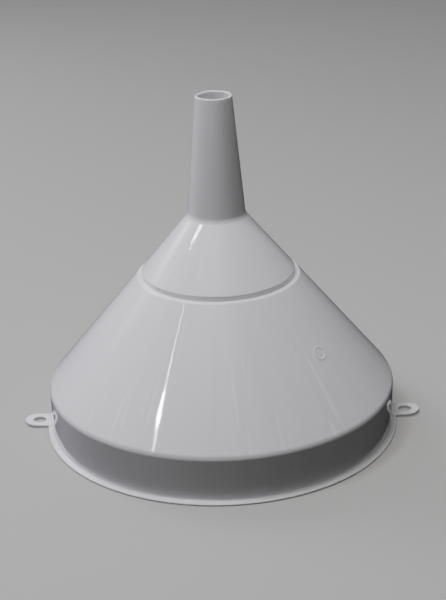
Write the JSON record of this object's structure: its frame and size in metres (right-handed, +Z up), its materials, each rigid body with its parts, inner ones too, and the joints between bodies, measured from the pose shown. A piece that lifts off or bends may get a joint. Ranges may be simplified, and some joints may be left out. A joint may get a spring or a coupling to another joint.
{
  "type": "two-piece filter funnel",
  "caption": "Large conical plastic filter funnel standing upside down on its rim, with a lift-off stem section, perforated plate and flat hanging eyelets.",
  "frame": {"origin": "centre of the rim's flat face, which is the lowest plane in this upside-down stance", "axes": "+Z up along the funnel's axis towards the stem's open end; +X and -X through the two eyelets"},
  "size_m": [0.341, 0.3, 0.286],
  "materials": {
    "white_plastic": "glossy moulded white plastic with faint flow marks",
    "seal_rubber": "matte translucent grey silicone",
    "filter_paper": "plain off-white filter paper",
    "plate_plastic": "satin moulded white plastic"
  },
  "bodies": {
    "bowl": {"bowl": "white_plastic", "section_seal": "seal_rubber"},
    "filter_disc": {"filter_disc": "filter_paper"},
    "filter_plate": {"filter_plate": "plate_plastic"},
    "stem_section": {"stem_section": "white_plastic"}
  },
  "joints": [
    {"name": "filter_disc_lift", "type": "slide", "parent": "bowl", "child": "filter_disc", "axis": [0, 0, 1], "range_m": [0, 0.03]},
    {"name": "filter_plate_lift", "type": "slide", "parent": "filter_disc", "child": "filter_plate", "axis": [0, 0, 1], "range_m": [0, 0.04]},
    {"name": "stem_section_lift", "type": "slide", "parent": "filter_plate", "child": "stem_section", "axis": [0, 0, 1], "range_m": [0, 0.08]}
  ]
}
